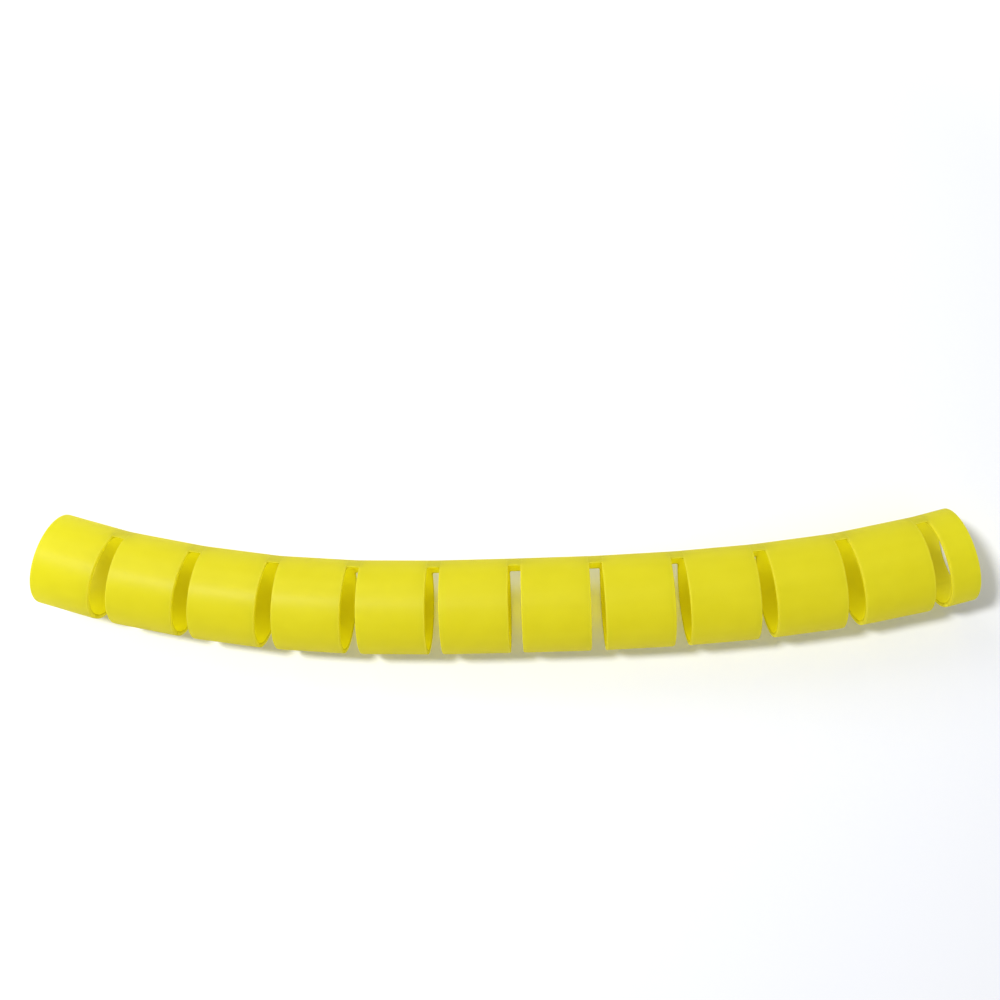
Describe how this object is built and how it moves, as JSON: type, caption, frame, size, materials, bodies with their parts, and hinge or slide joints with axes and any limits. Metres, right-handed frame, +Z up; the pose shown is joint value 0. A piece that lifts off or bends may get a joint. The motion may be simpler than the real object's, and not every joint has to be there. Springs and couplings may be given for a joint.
{
  "type": "slotted flexible cable and hose sleeve",
  "caption": "Short length of thin-walled flexible plastic sleeve, saw-cut into rings that hinge on one uncut spine, with an entry slit for wrapping hoses or cable bundles.",
  "frame": {"origin": "middle of the bottom of the bounding box, on the table under the sleeve", "axes": "+X along the sleeve from its left end to its right end, +Y towards the spine on the inside of the bend, +Z up from the table"},
  "size_m": [0.2482, 0.039, 0.025],
  "materials": {
    "yellow_plastic": "satin"
  },
  "bodies": {
    "segment_01": {"ring_01": "yellow_plastic"},
    "segment_02": {"ring_02": "yellow_plastic", "spine_hinge_01": "yellow_plastic"},
    "segment_03": {"ring_03": "yellow_plastic", "spine_hinge_02": "yellow_plastic"},
    "segment_04": {"ring_04": "yellow_plastic", "spine_hinge_03": "yellow_plastic"},
    "segment_05": {"ring_05": "yellow_plastic", "spine_hinge_04": "yellow_plastic"},
    "segment_06": {"ring_06": "yellow_plastic", "spine_hinge_05": "yellow_plastic", "spine_hinge_06": "yellow_plastic"},
    "segment_07": {"ring_07": "yellow_plastic", "spine_hinge_07": "yellow_plastic"},
    "segment_08": {"ring_08": "yellow_plastic", "spine_hinge_08": "yellow_plastic"},
    "segment_09": {"ring_09": "yellow_plastic", "spine_hinge_09": "yellow_plastic"},
    "segment_10": {"ring_10": "yellow_plastic", "spine_hinge_10": "yellow_plastic"},
    "segment_11": {"ring_11": "yellow_plastic", "spine_hinge_11": "yellow_plastic"},
    "segment_12": {"ring_12": "yellow_plastic"}
  },
  "joints": [
    {"name": "spine_bend_01", "type": "hinge", "parent": "segment_02", "child": "segment_01", "pos_m": [-0.10043, 0.01186, 0.0125], "axis": [0, 0, -1], "range_deg": [-11.9, 13.1], "stiffness_Nm_per_rad": 0.01, "deforming": ["spine_hinge_01"]},
    {"name": "spine_bend_02", "type": "hinge", "parent": "segment_03", "child": "segment_02", "pos_m": [-0.07968, 0.00801, 0.0125], "axis": [0, 0, -1], "range_deg": [-10.3, 14.7], "stiffness_Nm_per_rad": 0.01, "deforming": ["spine_hinge_02"]},
    {"name": "spine_bend_03", "type": "hinge", "parent": "segment_04", "child": "segment_03", "pos_m": [-0.05875, 0.00537, 0.0125], "axis": [0, 0, -1], "range_deg": [-11, 14], "stiffness_Nm_per_rad": 0.01, "deforming": ["spine_hinge_03"]},
    {"name": "spine_bend_04", "type": "hinge", "parent": "segment_05", "child": "segment_04", "pos_m": [-0.03768, 0.00419, 0.0125], "axis": [0, 0, -1], "range_deg": [-10.2, 14.8], "stiffness_Nm_per_rad": 0.01, "deforming": ["spine_hinge_04"]},
    {"name": "spine_bend_05", "type": "hinge", "parent": "segment_06", "child": "segment_05", "pos_m": [-0.01658, 0.00419, 0.0125], "axis": [0, 0, -1], "range_deg": [-8.6, 16.4], "stiffness_Nm_per_rad": 0.01, "deforming": ["spine_hinge_05"]},
    {"name": "spine_bend_06", "type": "hinge", "parent": "segment_06", "child": "segment_07", "pos_m": [0.00451, 0.00478, 0.0125], "axis": [0, 0, 1], "range_deg": [-7.4, 17.6], "stiffness_Nm_per_rad": 0.01, "deforming": ["spine_hinge_06"]},
    {"name": "spine_bend_07", "type": "hinge", "parent": "segment_07", "child": "segment_08", "pos_m": [0.0256, 0.00551, 0.0125], "axis": [0, 0, 1], "range_deg": [-8.4, 16.6], "stiffness_Nm_per_rad": 0.01, "deforming": ["spine_hinge_07"]},
    {"name": "spine_bend_08", "type": "hinge", "parent": "segment_08", "child": "segment_09", "pos_m": [0.04666, 0.00677, 0.0125], "axis": [0, 0, 1], "range_deg": [-8.9, 16.1], "stiffness_Nm_per_rad": 0.01, "deforming": ["spine_hinge_08"]},
    {"name": "spine_bend_09", "type": "hinge", "parent": "segment_09", "child": "segment_10", "pos_m": [0.06767, 0.00872, 0.0125], "axis": [0, 0, 1], "range_deg": [-9.6, 15.4], "stiffness_Nm_per_rad": 0.01, "deforming": ["spine_hinge_09"]},
    {"name": "spine_bend_10", "type": "hinge", "parent": "segment_10", "child": "segment_11", "pos_m": [0.08857, 0.01162, 0.0125], "axis": [0, 0, 1], "range_deg": [-11, 14], "stiffness_Nm_per_rad": 0.01, "deforming": ["spine_hinge_10"]},
    {"name": "spine_bend_11", "type": "hinge", "parent": "segment_11", "child": "segment_12", "pos_m": [0.10921, 0.01597, 0.0125], "axis": [0, 0, 1], "range_deg": [-10.2, 14.8], "stiffness_Nm_per_rad": 0.01, "deforming": ["spine_hinge_11"]}
  ]
}
